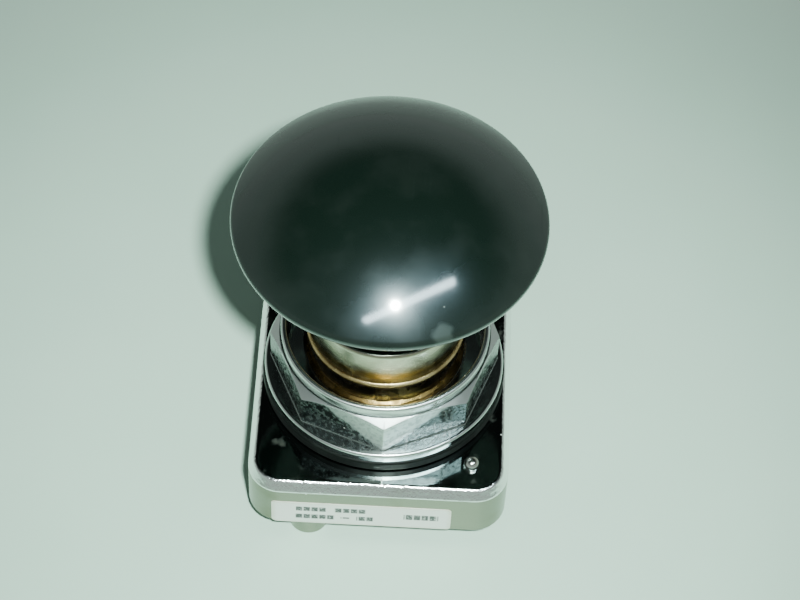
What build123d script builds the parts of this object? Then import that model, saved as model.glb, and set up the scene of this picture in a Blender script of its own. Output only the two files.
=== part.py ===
from build123d import *
import os
from math import atan2, cos, degrees, pi, radians, sin, sqrt, tan

# Heavy-duty plunger push button: a square die-cast base with a round neck that passes through a
# 30.5 mm panel hole, an octagonal nut that clamps the panel, and a mushroom head on a sprung stem.
# Millimetres. +Z is the way the head faces, -Y is the front (the label's side). The origin is on the
# stem's axis, at the height of the mounting posts' ends.

# ---- Driving dimensions ------------------------------------------------------------------------
# Clearances
SLIP = 0.03            # radial gap of a part pressed, moulded or screwed into another
RUN = 0.05             # radial gap of a sliding fit
THREAD_GAP = 0.05      # radial gap between two simplified threads
TOUCH = 0.02           # gap where a moving face rests against a fixed one

# Base casting
BASE_WIDTH = 49.4
BASE_DEPTH = 55.6
BASE_HEIGHT = 12.6
BASE_CORNER = 6.4
BEVEL_HEIGHT = 2.3     # of the steep bevel round the top edge
BEVEL_INSET = 1.2
BASE_WALL = 3.0
BASE_ROOF = 3.0
CAVITY_CORNER = 2.5
POST_LENGTH = 4.2      # how far the posts stand out below the base
POST_RADIUS = 3.8
POST_EDGE_GAP = 0.1    # from the post's side to the base's front face
POST_X = 13.0
POST_HOLE_RADIUS = 1.65
POST_HOLE_DEPTH = 9.0
PEG_RADIUS = 2.6
PEG_GAP = 2.4          # from the neck's flange

# Neck: a brass tube with a flange that sits under the base's roof
NECK_RADIUS = 15.2
NECK_PITCH = 1.5
NECK_THREAD_DEPTH = 0.7
NECK_FLANGE_WIDTH = 2.8
NECK_FLANGE_THICKNESS = 2.2
NECK_FLOOR = 2.2       # floor of the spring pocket
NECK_FLOOR_DROP = 1.4  # how far the floor stands below the flange
NECK_THREAD_TOP = 29.6
POCKET_WALL = 2.2      # round the lower end of the spring pocket
SPIGOT_WALL = 1.4
BUSH_SHOULDER = 1.0    # step that the upper bush rests on
BUSH_SEAT_HEIGHT = 30.0

# Collar round the neck's top
COLLAR_BOTTOM = 34.7
COLLAR_TOP = 41.9
COLLAR_WALL = 1.75
COLLAR_LIP = 1.05
COLLAR_LIP_REACH = 3.4 # how far the lip comes in from the collar's outside
COLLAR_ROUND = 0.8

# Panel gasket and octagonal nut
GASKET_THICKNESS = 2.5
GASKET_MARGIN = 0.35   # how far the gasket stands out round the nut's flange
NUT_ACROSS_FLATS = 40.4
NUT_SIDES = 8
NUT_TURN = 2.0         # degrees that the nut's corner is turned from the front
NUT_FLANGE_MARGIN = 1.14
NUT_FLANGE_THICKNESS = 2.0
NUT_FLANGE_ROUND = 0.7
NUT_BODY_HEIGHT = 10.5 # from the nut's foot to the chamfer's inner circle
NUT_CORNER_ANGLE = 40.0
NUT_LIP_HEIGHT = 2.3
NUT_LIP_WALL = 1.15
NUT_GROOVE = 0.35
NUT_RECESS_DEPTH = 5.9

# Stem, bushes and seals
STEM_RADIUS = 5.0
STEM_SHOULDER = 1.0    # step down to the thread that carries the head
STEM_THREAD_LENGTH = 12.0
TRAVEL = 6.35
UPPER_BUSH_LENGTH = 8.4
SEAL_SECTION_RADIUS = 1.0
LOWER_BUSH_WALL = 1.95
LOWER_BUSH_FLANGE = 1.0
LOWER_BUSH_STICKOUT = 1.0
WIPER_THICKNESS = 0.9
WIPER_LIP = 1.2
WIPER_LIP_DROP = 0.3   # of the lip's outer edge below the collar's top

# Spring and the parts that carry it
SPRING_WIRE_RADIUS = 0.55
SPRING_LENGTH = 12.0
SPRING_TURNS = 4.0
SEAT_THICKNESS = 0.6
SEAT_GAP = 0.4
CUP_HEIGHT = 2.4
CUP_GAP = 0.6          # from the spring pocket's wall
CUP_FLOOR = 1.2
RING_THICKNESS = 1.0
RING_WIDTH = 1.8       # how far the ring stands out from the stem
RING_GROOVE_DEPTH = 0.7
BUMPER_THICKNESS = 1.5

# Push plate under the stem
PLATE_WIDTH = 34.0
PLATE_DEPTH = 14.0
PLATE_THICKNESS = 2.2
PLATE_CORNER = 3.0
PLATE_BUSH_GAP = 0.4
PLATE_SCREW_RADIUS = 2.0
PLATE_SCREW_HEAD_RADIUS = 3.6
PLATE_SCREW_LENGTH = 8.0
RECESS_LENGTH = 4.0
RECESS_WIDTH = 0.8

# Mushroom head
HEAD_RADIUS = 28.575
HEAD_DOME_RADIUS = 40.4
HEAD_RIM_ROUND = 1.8
HEAD_RIM_HEIGHT = 63.8      # of the rim's widest circle
HEAD_HUB_WALL = 3.5
HEAD_HUB_STRAIGHT = 3.0
HEAD_HUB_EDGE = 0.6
HEAD_STOP_GAP = 0.3         # left between hub and collar when fully pressed
INSERT_WALL = 3.5
INSERT_LENGTH = 14.0
INSERT_GROOVE = 0.5
INSERT_GROOVE_HEIGHTS = (2.5, 10.5)  # above the insert's foot
SET_SCREW_RADIUS = 2.0
SET_SCREW_RISE = 6.0        # above the hub's foot
SET_SCREW_SINK = 0.8        # below the hub's surface
SOCKET_RADIUS = 1.15
SOCKET_DEPTH = 2.2

# Small fixed parts
LOCATING_PIN_GAP = 2.55     # from the gasket's edge
LOCATING_PIN_ANGLE = -50.0
LOCATING_PIN_SHANK = 1.2
LOCATING_PIN_HEAD = 1.5
LOCATING_PIN_DEPTH = 2.4
KEY_RADIUS = 1.0
LABEL_WIDTH = 34.2
LABEL_HEIGHT = 7.0
LABEL_THICKNESS = 0.12
LABEL_X = -2.8
LABEL_RISE = 0.2            # above the base's lower edge
LABEL_CORNER = 0.8

# ---- Radii and places that follow from them -------------------------------------------------------
neck_root_radius = NECK_RADIUS - NECK_THREAD_DEPTH
neck_flange_radius = NECK_RADIUS + NECK_FLANGE_WIDTH
collar_bore_radius = NECK_RADIUS - COLLAR_WALL
collar_opening_radius = NECK_RADIUS - COLLAR_LIP_REACH
spigot_radius = collar_bore_radius - THREAD_GAP
bush_seat_radius = spigot_radius - SPIGOT_WALL
pocket_radius = bush_seat_radius - BUSH_SHOULDER
lower_bush_radius = STEM_RADIUS + RUN + LOWER_BUSH_WALL
spring_mean_radius = (STEM_RADIUS + pocket_radius) / 2
cup_radius = pocket_radius - CUP_GAP
ring_radius = STEM_RADIUS + RING_WIDTH
stem_thread_radius = STEM_RADIUS - STEM_SHOULDER
insert_radius = stem_thread_radius + INSERT_WALL
hub_radius = insert_radius + HEAD_HUB_WALL
nut_circle_radius = NUT_ACROSS_FLATS / 2
nut_corner_radius = nut_circle_radius / cos(pi / NUT_SIDES)
nut_flange_radius = nut_corner_radius + NUT_FLANGE_MARGIN
gasket_radius = nut_flange_radius + GASKET_MARGIN
pin_distance = gasket_radius + LOCATING_PIN_GAP + LOCATING_PIN_HEAD
pin_x = pin_distance * cos(radians(LOCATING_PIN_ANGLE))
pin_y = pin_distance * sin(radians(LOCATING_PIN_ANGLE))
post_y = BASE_DEPTH / 2 - POST_EDGE_GAP - POST_RADIUS
peg_y = sqrt((neck_flange_radius + PEG_GAP + PEG_RADIUS) ** 2 - POST_X**2)

# ---- Heights that follow from them ----------------------------------------------------------------
base_bottom = POST_LENGTH
base_top = base_bottom + BASE_HEIGHT
roof_underside = base_top - BASE_ROOF
neck_flange_bottom = roof_underside - NECK_FLANGE_THICKNESS
neck_bottom = neck_flange_bottom - NECK_FLOOR_DROP
pocket_floor = neck_bottom + NECK_FLOOR
nut_bottom = base_top + GASKET_THICKNESS
nut_circle_height = nut_bottom + NUT_BODY_HEIGHT
nut_top = nut_circle_height + NUT_LIP_HEIGHT
upper_bush_top = BUSH_SEAT_HEIGHT + UPPER_BUSH_LENGTH
wiper_top = COLLAR_TOP - COLLAR_LIP
spigot_top = wiper_top - WIPER_THICKNESS
seat_bottom = pocket_floor + LOWER_BUSH_FLANGE
spring_bottom = seat_bottom + SEAT_THICKNESS
spring_top = spring_bottom + SPRING_LENGTH
cup_top = spring_top + CUP_HEIGHT
hub_bottom = COLLAR_TOP + TRAVEL + HEAD_STOP_GAP
plate_top = neck_bottom - LOWER_BUSH_STICKOUT - PLATE_BUSH_GAP
plate_bottom = plate_top - PLATE_THICKNESS


# ---- Helpers -----------------------------------------------------------------------------------
def turned(*outline):
    """Solid of revolution about Z from a closed outline of (radius, height) points."""
    return revolve(Plane.XZ * make_face(Polyline(*outline, close=True)), Axis.Z)


def cylinder(radius, low, high, x=0.0, y=0.0):
    """Upright cylinder between two heights."""
    return Pos(x, y, low) * extrude(Circle(radius), high - low)


def ring(inner, outer, low, high):
    """Upright tube between two heights."""
    return turned((inner, low), (outer, low), (outer, high), (inner, high))


def circles_at(solid, radius, height):
    """The solid's circular edges of one radius at one height."""
    return [
        edge
        for edge in solid.edges().filter_by(GeomType.CIRCLE)
        if abs(edge.radius - radius) < 1e-3 and abs(edge.arc_center.Z - height) < 1e-3
    ]


# ---- Fixed body --------------------------------------------------------------------------------
def base_casting():
    """Open-bottomed square casting with two tapped posts and two locating pegs under it."""
    outline = RectangleRounded(BASE_WIDTH, BASE_DEPTH, BASE_CORNER)
    side_height = BASE_HEIGHT - BEVEL_HEIGHT
    lean = degrees(atan2(BEVEL_INSET, BEVEL_HEIGHT))
    block = extrude(outline, side_height)
    block += Pos(0, 0, side_height) * extrude(outline, BEVEL_HEIGHT, taper=lean)
    inside = RectangleRounded(BASE_WIDTH - 2 * BASE_WALL, BASE_DEPTH - 2 * BASE_WALL, CAVITY_CORNER)
    block -= extrude(inside, BASE_HEIGHT - BASE_ROOF)
    block = Pos(0, 0, base_bottom) * block
    for side in (-1, 1):
        block += cylinder(POST_RADIUS, 0, roof_underside, side * POST_X, side * post_y)
        block += cylinder(PEG_RADIUS, 0, roof_underside, side * POST_X, -side * peg_y)
    for side in (-1, 1):
        block -= cylinder(POST_HOLE_RADIUS, 0, POST_HOLE_DEPTH, side * POST_X, side * post_y)
    block -= cylinder(NECK_RADIUS + SLIP, roof_underside, base_top)
    block -= cylinder(KEY_RADIUS + SLIP, roof_underside, key_top(), 0, key_y())
    pin_hole_bottom = base_top - LOCATING_PIN_DEPTH - SLIP
    block -= cylinder(LOCATING_PIN_SHANK + SLIP, pin_hole_bottom, base_top, pin_x, pin_y)
    return block


def key_y():
    """The key pin stands halfway across the neck flange's seat."""
    return NECK_RADIUS + NECK_FLANGE_WIDTH / 2


def key_top():
    """The key pin reaches two thirds of the way into the roof."""
    return roof_underside + BASE_ROOF * 2 / 3


def neck_key():
    """Steel pin that stops the neck turning in the base."""
    return cylinder(KEY_RADIUS, neck_flange_bottom, key_top() - SLIP, 0, key_y())


def threaded_neck():
    """Brass tube: flange and spring pocket below, thread for the nut, spigot for the collar."""
    thread = []
    height = base_top + NECK_PITCH
    while height + NECK_PITCH < NECK_THREAD_TOP:
        thread += [(NECK_RADIUS, height + 0.1 * NECK_PITCH)]
        thread += [(neck_root_radius, height + 0.5 * NECK_PITCH)]
        thread += [(NECK_RADIUS, height + 0.9 * NECK_PITCH)]
        height += NECK_PITCH
    tube = turned(
        (lower_bush_radius, neck_bottom),
        (pocket_radius + POCKET_WALL, neck_bottom),
        (pocket_radius + POCKET_WALL, neck_flange_bottom),
        (neck_flange_radius, neck_flange_bottom),
        (neck_flange_radius, roof_underside),
        (NECK_RADIUS, roof_underside),
        *thread,
        (NECK_RADIUS, NECK_THREAD_TOP - NECK_THREAD_DEPTH),
        (neck_root_radius, NECK_THREAD_TOP),
        (neck_root_radius, COLLAR_BOTTOM),
        (spigot_radius, COLLAR_BOTTOM),
        (spigot_radius, spigot_top),
        (bush_seat_radius, spigot_top),
        (bush_seat_radius, BUSH_SEAT_HEIGHT),
        (pocket_radius, BUSH_SEAT_HEIGHT),
        (pocket_radius, pocket_floor),
        (lower_bush_radius, pocket_floor),
    )
    tube -= cylinder(KEY_RADIUS + SLIP, neck_flange_bottom, roof_underside, 0, key_y())
    # A flange wider than the cavity would have flats where it passes the walls.
    cavity = Rectangle(BASE_WIDTH - 2 * (BASE_WALL + RUN), BASE_DEPTH - 2 * (BASE_WALL + RUN))
    return tube & Pos(0, 0, neck_bottom) * extrude(cavity, spigot_top - neck_bottom)


def neck_collar():
    """Satin ring screwed on the neck's spigot; its lip holds the wiper down."""
    collar = turned(
        (collar_bore_radius, COLLAR_BOTTOM),
        (NECK_RADIUS, COLLAR_BOTTOM),
        (NECK_RADIUS, COLLAR_TOP),
        (collar_opening_radius, COLLAR_TOP),
        (collar_opening_radius, wiper_top),
        (collar_bore_radius, wiper_top),
    )
    return fillet(circles_at(collar, NECK_RADIUS, COLLAR_TOP), COLLAR_ROUND)


def wiper_seal():
    """Rubber disc held by the collar, with a lip round the stem."""
    bore = STEM_RADIUS + RUN
    flange = spigot_radius - SLIP
    plug = bush_seat_radius - SLIP
    lip_outer = bore + WIPER_LIP
    return turned(
        (bore, upper_bush_top),
        (plug, upper_bush_top),
        (plug, spigot_top),
        (flange, spigot_top),
        (flange, wiper_top),
        (lip_outer + WIPER_LIP, wiper_top),
        (lip_outer, COLLAR_TOP - WIPER_LIP_DROP),
        (bore, COLLAR_TOP - WIPER_LIP_DROP / 3),
    )


def upper_bush():
    """Bronze guide in the neck's top, with a groove for the stem seal."""
    bore = STEM_RADIUS + RUN
    middle = (BUSH_SEAT_HEIGHT + upper_bush_top) / 2
    half_groove = SEAL_SECTION_RADIUS + RUN
    groove_floor = bore + 2 * half_groove
    return turned(
        (bore, BUSH_SEAT_HEIGHT),
        (bush_seat_radius - SLIP, BUSH_SEAT_HEIGHT),
        (bush_seat_radius - SLIP, upper_bush_top),
        (bore, upper_bush_top),
        (bore, middle + half_groove),
        (groove_floor, middle + half_groove),
        (groove_floor, middle - half_groove),
        (bore, middle - half_groove),
    )


def stem_seal():
    """O-ring in the upper bush's groove."""
    middle = (BUSH_SEAT_HEIGHT + upper_bush_top) / 2
    section = Pos(STEM_RADIUS + RUN + SEAL_SECTION_RADIUS, 0) * Circle(SEAL_SECTION_RADIUS)
    return Pos(0, 0, middle) * revolve(Plane.XZ * section, Axis.Z)


def lower_bush():
    """Flanged nylon guide in the floor of the spring pocket."""
    bore = STEM_RADIUS + RUN
    spigot = lower_bush_radius - SLIP
    flange = pocket_radius - SLIP
    return turned(
        (bore, neck_bottom - LOWER_BUSH_STICKOUT),
        (spigot, neck_bottom - LOWER_BUSH_STICKOUT),
        (spigot, pocket_floor),
        (flange, pocket_floor),
        (flange, seat_bottom),
        (bore, seat_bottom),
    )


def spring_seat():
    """Steel washer between the lower bush and the spring."""
    return ring(STEM_RADIUS + SEAT_GAP, pocket_radius - SEAT_GAP, seat_bottom, spring_bottom)


def return_spring():
    """Compression spring round the stem."""
    rise = SPRING_LENGTH - 2 * SPRING_WIRE_RADIUS - 2 * TOUCH
    coil = Helix(rise / SPRING_TURNS, rise, spring_mean_radius)
    section = Plane(origin=coil @ 0, z_dir=coil % 0) * Circle(SPRING_WIRE_RADIUS)
    return Pos(0, 0, spring_bottom + SPRING_WIRE_RADIUS + TOUCH) * sweep(section, path=coil)


def panel_gasket():
    """Rubber washer between the base and the panel."""
    return ring(NECK_RADIUS + SLIP, gasket_radius, base_top, nut_bottom)


def octagonal_nut():
    """Plated nut: round flange, eight flats with turned corners, and a raised round lip."""
    cone_radius = nut_flange_radius
    cone_drop = (cone_radius - nut_circle_radius) * tan(radians(NUT_CORNER_ANGLE))
    octagon = RegularPolygon(nut_corner_radius, NUT_SIDES, rotation=-90 + NUT_TURN)
    flats = Pos(0, 0, nut_bottom) * extrude(octagon, NUT_BODY_HEIGHT)
    envelope = turned(
        (0, nut_bottom),
        (cone_radius, nut_bottom),
        (cone_radius, nut_circle_height - cone_drop),
        (nut_circle_radius, nut_circle_height),
        (0, nut_circle_height),
    )
    nut = flats & envelope
    flange_top = nut_bottom + NUT_FLANGE_THICKNESS
    flange = cylinder(nut_flange_radius, nut_bottom, flange_top)
    flange = fillet(circles_at(flange, nut_flange_radius, flange_top), NUT_FLANGE_ROUND)
    groove_bottom = nut_circle_height - NUT_GROOVE
    lip_outer = nut_circle_radius - NUT_GROOVE
    lip_inner = lip_outer - NUT_LIP_WALL
    nut += flange
    nut -= ring(lip_outer, cone_radius, groove_bottom, nut_circle_height)
    nut += cylinder(lip_outer, groove_bottom, nut_top)
    nut -= cylinder(NECK_RADIUS + THREAD_GAP, nut_bottom, nut_top)
    nut -= cylinder(lip_inner, nut_top - NUT_RECESS_DEPTH, nut_top)
    nut = fillet(circles_at(nut, lip_outer, nut_top), 0.6 * NUT_LIP_WALL)
    return fillet(circles_at(nut, lip_inner, nut_top), 0.3 * NUT_LIP_WALL)


def locating_pin():
    """Ball-headed pin that enters a small hole in the panel."""
    head = LOCATING_PIN_HEAD
    pin = cylinder(LOCATING_PIN_SHANK, base_top - LOCATING_PIN_DEPTH, base_top)
    pin += cylinder(head, base_top, base_top + head / 3)
    dome = Sphere(head, arc_size1=0, align=(Align.CENTER, Align.CENTER, Align.MIN))
    pin += Pos(0, 0, base_top + head / 3) * dome
    return Pos(pin_x, pin_y, 0) * pin


def rating_label():
    """Thin white sticker on the base's front face."""
    sticker = extrude(RectangleRounded(LABEL_WIDTH, LABEL_HEIGHT, LABEL_CORNER), LABEL_THICKNESS)
    middle = base_bottom + LABEL_RISE + LABEL_HEIGHT / 2
    return Pos(LABEL_X, -BASE_DEPTH / 2, middle) * Rot(90, 0, 0) * sticker


# ---- Moving body -------------------------------------------------------------------------------
def plunger_stem():
    """Steel rod: threaded top for the head, ring groove, tapped lower end for the push plate."""
    ring_low = spring_top + CUP_FLOOR
    groove_floor = STEM_RADIUS - RING_GROOVE_DEPTH
    rod = turned(
        (0, plate_top),
        (STEM_RADIUS, plate_top),
        (STEM_RADIUS, ring_low),
        (groove_floor, ring_low),
        (groove_floor, ring_low + RING_THICKNESS + 2 * TOUCH),
        (STEM_RADIUS, ring_low + RING_THICKNESS + 2 * TOUCH),
        (STEM_RADIUS, hub_bottom),
        (stem_thread_radius, hub_bottom),
        (stem_thread_radius, hub_bottom + STEM_THREAD_LENGTH),
        (0, hub_bottom + STEM_THREAD_LENGTH),
    )
    tapped_depth = PLATE_SCREW_LENGTH - PLATE_THICKNESS + 1
    rod -= cylinder(PLATE_SCREW_RADIUS + THREAD_GAP, plate_top, plate_top + tapped_depth)
    return rod


def spring_cup():
    """Steel cup on the stem that the spring pushes; it hides the retaining ring."""
    return turned(
        (STEM_RADIUS + SLIP, spring_top),
        (cup_radius, spring_top),
        (cup_radius, cup_top),
        (ring_radius + RUN, cup_top),
        (ring_radius + RUN, spring_top + CUP_FLOOR),
        (STEM_RADIUS + SLIP, spring_top + CUP_FLOOR),
    )


def retaining_ring():
    """Open snap ring in the stem's groove, above the cup's floor."""
    low = spring_top + CUP_FLOOR + TOUCH
    snap = ring(STEM_RADIUS - RING_GROOVE_DEPTH + SLIP, ring_radius, low, low + RING_THICKNESS)
    mouth = Pos(0, ring_radius, low + RING_THICKNESS / 2)
    return snap - mouth * Box(STEM_RADIUS, 2 * ring_radius, 2 * RING_THICKNESS)


def bumper_ring():
    """Rubber ring on the cup that meets the upper bush when the button springs back."""
    return ring(ring_radius + CUP_GAP, cup_radius, cup_top, cup_top + BUMPER_THICKNESS)


def push_plate():
    """Steel plate on the stem's lower end that works the contact blocks."""
    plate = extrude(RectangleRounded(PLATE_WIDTH, PLATE_DEPTH, PLATE_CORNER), PLATE_THICKNESS)
    plate = Pos(0, 0, plate_bottom) * plate
    return plate - push_plate_screw_body(THREAD_GAP)


def push_plate_screw_body(extra):
    """Countersunk screw's outer shape, or its hole when made larger by a clearance."""
    sink = PLATE_SCREW_HEAD_RADIUS - PLATE_SCREW_RADIUS
    return turned(
        (0, plate_bottom),
        (PLATE_SCREW_HEAD_RADIUS + extra, plate_bottom),
        (PLATE_SCREW_RADIUS + extra, plate_bottom + sink),
        (PLATE_SCREW_RADIUS + extra, plate_bottom + PLATE_SCREW_LENGTH),
        (0, plate_bottom + PLATE_SCREW_LENGTH),
    )


def push_plate_screw():
    """Countersunk screw with a cross recess."""
    screw = push_plate_screw_body(0)
    slot = Box(RECESS_LENGTH, RECESS_WIDTH, 2 * RECESS_WIDTH)
    for angle in (0, 90):
        screw -= Pos(0, 0, plate_bottom) * Rot(0, 0, angle) * slot
    return screw


def mushroom_head():
    """Moulded head: domed top, rolled rim, and an underside that sweeps in to a round hub."""
    rim_centre = HEAD_RADIUS - HEAD_RIM_ROUND
    inner_radius = HEAD_DOME_RADIUS - HEAD_RIM_ROUND
    rise = sqrt(inner_radius**2 - rim_centre**2)
    dome_centre = HEAD_RIM_HEIGHT - rise
    top = dome_centre + HEAD_DOME_RADIUS
    edge_angle = atan2(rim_centre, rise)

    def on_dome(angle):
        return HEAD_DOME_RADIUS * sin(angle), dome_centre + HEAD_DOME_RADIUS * cos(angle)

    under_rim = (rim_centre, HEAD_RIM_HEIGHT - HEAD_RIM_ROUND)
    hub_top = (hub_radius, hub_bottom + HEAD_HUB_STRAIGHT)
    outline = [
        ThreePointArc((0, top), on_dome(edge_angle / 2), on_dome(edge_angle)),
        ThreePointArc(on_dome(edge_angle), (HEAD_RADIUS, HEAD_RIM_HEIGHT), under_rim),
        Spline([under_rim, hub_top], tangents=[(-1, 0), (0, -1)]),
        Line(hub_top, (hub_radius, hub_bottom)),
        Line((hub_radius, hub_bottom), (0, hub_bottom)),
        Line((0, hub_bottom), (0, top)),
    ]
    head = revolve(Plane.XZ * make_face(Wire(outline)), Axis.Z)
    head = chamfer(circles_at(head, hub_radius, hub_bottom), HEAD_HUB_EDGE)
    head -= cylinder(insert_radius + SLIP, hub_bottom, hub_bottom + INSERT_LENGTH + SLIP)
    return head - set_screw_hole(HEAD_RADIUS)


def set_screw_hole(reach):
    """Radial hole for the set screw, from the stem's thread outwards to the rear."""
    drill = extrude(Circle(SET_SCREW_RADIUS + THREAD_GAP), reach)
    return Pos(0, 0, hub_bottom + SET_SCREW_RISE) * Rot(-90, 0, 0) * drill


def head_insert():
    """Knurl-grooved brass bush moulded into the hub."""
    top = hub_bottom + INSERT_LENGTH
    bush = cylinder(insert_radius, hub_bottom, top)
    thread_top = hub_bottom + STEM_THREAD_LENGTH + THREAD_GAP
    bush -= cylinder(stem_thread_radius + THREAD_GAP, hub_bottom, thread_top)
    for rise in INSERT_GROOVE_HEIGHTS:
        low = hub_bottom + rise
        bush -= ring(insert_radius - INSERT_GROOVE, HEAD_RADIUS, low, low + 2 * INSERT_GROOVE)
    return bush - set_screw_hole(HEAD_RADIUS)


def head_set_screw():
    """Socket set screw that locks the head on the stem's thread."""
    start = stem_thread_radius + THREAD_GAP
    length = hub_radius - SET_SCREW_SINK - start
    screw = extrude(Circle(SET_SCREW_RADIUS), length)
    screw -= Pos(0, 0, length - SOCKET_DEPTH) * extrude(RegularPolygon(SOCKET_RADIUS, 6), SOCKET_DEPTH)
    return Pos(0, 0, hub_bottom + SET_SCREW_RISE) * Rot(-90, 0, 0) * Pos(0, 0, start) * screw


# ---- Write one file per piece --------------------------------------------------------------------
PIECES = [
    base_casting,
    threaded_neck,
    neck_key,
    neck_collar,
    wiper_seal,
    upper_bush,
    stem_seal,
    lower_bush,
    spring_seat,
    return_spring,
    panel_gasket,
    octagonal_nut,
    locating_pin,
    rating_label,
    mushroom_head,
    head_insert,
    head_set_screw,
    plunger_stem,
    spring_cup,
    retaining_ring,
    bumper_ring,
    push_plate,
    push_plate_screw,
]

os.makedirs("parts", exist_ok=True)
for piece in PIECES:
    solid = piece()
    solid.label = piece.__name__
    export_step(solid, f"parts/{piece.__name__}.step")
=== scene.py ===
from math import atan2, cos, pi, radians, sin, sqrt, tan

import bmesh
import bpy
from mathutils import Matrix, Vector


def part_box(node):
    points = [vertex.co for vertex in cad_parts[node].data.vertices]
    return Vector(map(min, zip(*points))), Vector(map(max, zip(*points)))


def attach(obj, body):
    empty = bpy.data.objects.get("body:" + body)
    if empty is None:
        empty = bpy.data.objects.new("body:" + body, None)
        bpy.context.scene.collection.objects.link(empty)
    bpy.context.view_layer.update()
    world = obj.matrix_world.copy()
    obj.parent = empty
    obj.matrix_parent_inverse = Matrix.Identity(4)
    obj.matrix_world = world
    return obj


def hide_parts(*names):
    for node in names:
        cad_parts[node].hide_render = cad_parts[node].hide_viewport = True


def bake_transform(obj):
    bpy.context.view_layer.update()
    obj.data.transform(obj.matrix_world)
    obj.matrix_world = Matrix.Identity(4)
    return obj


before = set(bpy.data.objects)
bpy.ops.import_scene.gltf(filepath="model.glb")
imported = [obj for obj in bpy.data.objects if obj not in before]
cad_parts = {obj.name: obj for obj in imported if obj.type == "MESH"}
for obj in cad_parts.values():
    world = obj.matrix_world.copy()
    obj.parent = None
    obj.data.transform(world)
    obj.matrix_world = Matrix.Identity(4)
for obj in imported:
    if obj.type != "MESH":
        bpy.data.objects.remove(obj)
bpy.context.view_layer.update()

# ---- Base casting ------------------------------------------------------------------------------
# A square zinc die casting, open below, with a bevelled top edge and bright plating that has gone
# a little cloudy. Two tapped posts and two plain pegs are cast in and stand out underneath.

MM = 0.001


def rounded_outline(corners, arc_steps=6, side_steps=1):
    """Closed outline through (x, y, radius) corners, with each corner turned into an arc."""
    arcs = []
    for i, (x, y, radius) in enumerate(corners):
        corner = Vector((x, y))
        back = (Vector(corners[i - 1][:2]) - corner).normalized()
        ahead = (Vector(corners[(i + 1) % len(corners)][:2]) - corner).normalized()
        if radius == 0:
            arcs.append([corner])
            continue
        half = back.angle(ahead) / 2
        centre = corner + (back + ahead).normalized() * radius / sin(half)
        first = corner + back * radius / tan(half) - centre
        last = corner + ahead * radius / tan(half) - centre
        turns = [first.slerp(last, k / arc_steps).normalized() for k in range(arc_steps + 1)]
        arcs.append([centre + turn * radius for turn in turns])
    outline = []
    for i, arc in enumerate(arcs):
        start, end = arc[-1], arcs[(i + 1) % len(arcs)][0]
        outline += arc
        outline += [start.lerp(end, k / side_steps) for k in range(1, side_steps)]
    return outline


def loft(name, loops, ring=False, sharp=35):
    """Skin through loops of points; a loop of one point closes an end, and a ring has no ends."""
    built = bmesh.new()
    rows = [[built.verts.new(point) for point in loop] for loop in loops]
    pairs = list(zip(rows, rows[1:]))
    if ring:
        pairs.append((rows[-1], rows[0]))
    for low, high in pairs:
        for i in range(max(len(low), len(high))):
            j = (i + 1) % max(len(low), len(high))
            corners = [low[i % len(low)], low[j % len(low)], high[j % len(high)], high[i % len(high)]]
            built.faces.new(list(dict.fromkeys(corners)))
    if not ring:
        for row in (rows[0], rows[-1]):
            if len(row) > 1:
                built.faces.new(row)
    bmesh.ops.recalc_face_normals(built, faces=built.faces)
    mesh = bpy.data.meshes.new(name)
    built.to_mesh(mesh)
    built.free()
    piece = bpy.data.objects.new(name, mesh)
    bpy.context.scene.collection.objects.link(piece)
    return smooth(piece, sharp)


def smooth(piece, sharp=35):
    """Shades rounded edges smoothly while the large faces beside them stay flat."""
    piece.data.shade_smooth()
    piece.data.set_sharp_from_angle(angle=radians(sharp))
    even = piece.modifiers.new("even_normals", "WEIGHTED_NORMAL")
    even.keep_sharp = True
    return piece


def circle(radius, height, angles, x=0.0, y=0.0):
    """Loop of points round a vertical axis, or the one point on it."""
    if radius < 1e-7:
        return [Vector((x, y, height))]
    return [Vector((x + radius * cos(a), y + radius * sin(a), height)) for a in angles]


def turned(name, outline, x=0.0, y=0.0, steps=160):
    """Lathe-turned piece from an outline of (radius, height) points."""
    angles = [2 * pi * k / steps for k in range(steps)]
    loops = [circle(radius, height, angles, x, y) for radius, height in outline]
    return loft(name, loops, ring=min(radius for radius, height in outline) > 1e-7)


def carve(piece, tools, operation="DIFFERENCE"):
    """Cuts the tools out of the piece, or joins them to it."""
    piece.modifiers.clear()
    for tool in tools:
        tool.modifiers.clear()
        step = piece.modifiers.new(tool.name, "BOOLEAN")
        step.operation = operation
        step.solver = "EXACT"
        step.object = tool
    bpy.context.view_layer.update()
    result = piece.evaluated_get(bpy.context.evaluated_depsgraph_get())
    mesh = bpy.data.meshes.new_from_object(result)
    piece.modifiers.clear()
    piece.data = mesh
    for tool in tools:
        bpy.data.objects.remove(tool)
    return smooth(piece)


class Signal:
    """A value in a node tree that can be added, subtracted or multiplied like a number."""

    def __init__(self, nodes, socket):
        self.nodes = nodes
        self.socket = socket

    def maths(self, operation, first, second):
        return self.nodes.node("ShaderNodeMath", {"operation": operation}, {0: first, 1: second})

    def __add__(self, other):
        return self.maths("ADD", self, other)

    def __sub__(self, other):
        return self.maths("SUBTRACT", self, other)

    def __rsub__(self, other):
        return self.maths("SUBTRACT", other, self)

    def __mul__(self, other):
        return self.maths("MULTIPLY", self, other)

    def __mod__(self, other):
        return self.maths("FLOORED_MODULO", self, other)

    def __abs__(self):
        return self.maths("ABSOLUTE", self, 0)

    __radd__ = __add__
    __rmul__ = __mul__

    def output(self, name):
        """Another output of the node that this value comes from."""
        return Signal(self.nodes, self.socket.node.outputs[name])


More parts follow.
